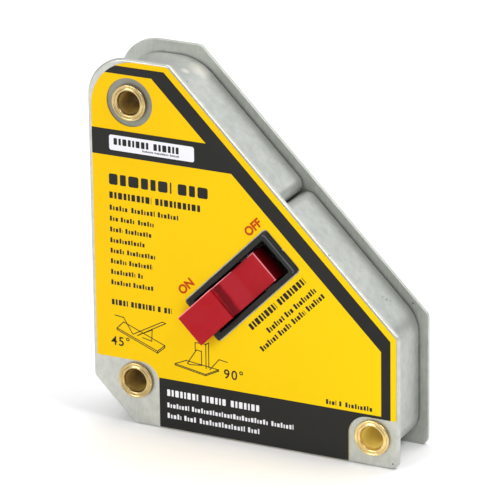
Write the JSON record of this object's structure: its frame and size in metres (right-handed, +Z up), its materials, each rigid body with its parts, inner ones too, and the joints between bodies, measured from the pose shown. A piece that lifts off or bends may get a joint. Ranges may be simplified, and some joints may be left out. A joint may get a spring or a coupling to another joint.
{
  "type": "switchable welding magnet",
  "caption": "Welding magnet holder: flat steel side plates with square and slanted edges, joined by a bent band and brass rivets, with a red on/off lever that turns a magnet rotor inside.",
  "frame": {"origin": "on the surface the plates' lower edges stand on, under the centre of the whole object's box", "axes": "+Z up from the lower edges, +X to the right with the labelled plate facing -Y, +Y to the bare rear plate"},
  "size_m": [0.097, 0.0264, 0.111],
  "materials": {
    "plate_steel": "tumbled bare steel sheet with a dull satin face",
    "band_steel": "rolled bare steel strip, satin",
    "brass": "satin turned brass",
    "label_print": "printed film, satin",
    "black_plastic": "moulded, fine matt",
    "red_plastic": "moulded, glossy",
    "shaft_steel": "ground",
    "magnet": "nickel plated",
    "pole_iron": "milled, lightly oiled",
    "aluminium": "sawn and milled",
    "nylon": "natural, unpolished",
    "spring_steel": "blued"
  },
  "bodies": {
    "holder": {"front_plate": "plate_steel", "rear_plate": "plate_steel", "spacer_band": "band_steel", "rivet_top": "brass", "rivet_corner": "brass", "rivet_foot": "brass", "front_label": "label_print", "switch_bezel": "black_plastic", "switch_well": "black_plastic", "pole_shoe_front_upper": "pole_iron", "pole_shoe_front_lower": "pole_iron", "pole_shoe_rear_upper": "pole_iron", "pole_shoe_rear_lower": "pole_iron", "bearing_block_upper": "aluminium", "bearing_block_lower": "aluminium", "thrust_washer_upper": "nylon", "thrust_washer_lower": "nylon", "wave_washer": "spring_steel"},
    "rotor": {"switch_lever": "red_plastic", "rotor_shaft": "shaft_steel", "rotor_magnet_upper": "magnet", "rotor_magnet_lower": "magnet", "shaft_clip_upper": "spring_steel", "shaft_clip_lower": "spring_steel"}
  },
  "joints": [
    {"name": "switch_turn", "type": "hinge", "parent": "holder", "child": "rotor", "pos_m": [0.00056, 0.00105, 0.04906], "axis": [-0.7071, 0, 0.7071], "range_deg": [0, 90]}
  ]
}
